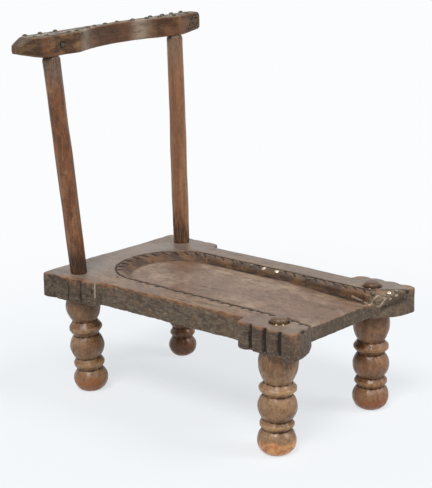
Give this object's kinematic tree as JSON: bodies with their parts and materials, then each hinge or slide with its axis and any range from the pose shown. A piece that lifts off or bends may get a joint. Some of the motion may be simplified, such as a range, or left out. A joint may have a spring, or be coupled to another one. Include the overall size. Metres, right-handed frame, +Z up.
{
  "type": "birthing chair",
  "caption": "Low carved hardwood birthing chair: thick seat with a horseshoe hollow, ball-and-ring legs, two leaning back posts and a yoke-shaped crest rail set with domed tacks.",
  "frame": {"origin": "on the floor, under the middle of the chair's overall box, which lies 5 mm to the right of the middle of the seat, because the rail reaches further on the right", "axes": "+Z up; -Y is the front, where the horseshoe hollow runs out between the ears; +X to the right of someone who stands in front of the chair and faces it"},
  "size_m": [0.3903, 0.5, 0.5655],
  "materials": {
    "seat_wood": "weathered, worn smooth on top, dark in the hollow",
    "leg_wood": "old wax, handled, worn orange-brown at the feet",
    "post_wood": "old wax, handled",
    "rail_wood": "old wax on the front, grey and dusty on top",
    "tack_brass": "dull, tarnished, rubbed bright on a few heads",
    "nail_iron": "dark rust"
  },
  "bodies": {
    "root": {"seat_plank": "seat_wood", "leg_front_left": "leg_wood", "leg_front_right": "leg_wood", "leg_back_left": "leg_wood", "leg_back_right": "leg_wood", "back_post_left": "post_wood", "back_post_right": "post_wood", "crest_rail": "rail_wood", "rail_tacks": "tack_brass", "border_tacks": "tack_brass", "boss_tacks": "tack_brass", "rail_nail": "nail_iron"}
  },
  "joints": []
}
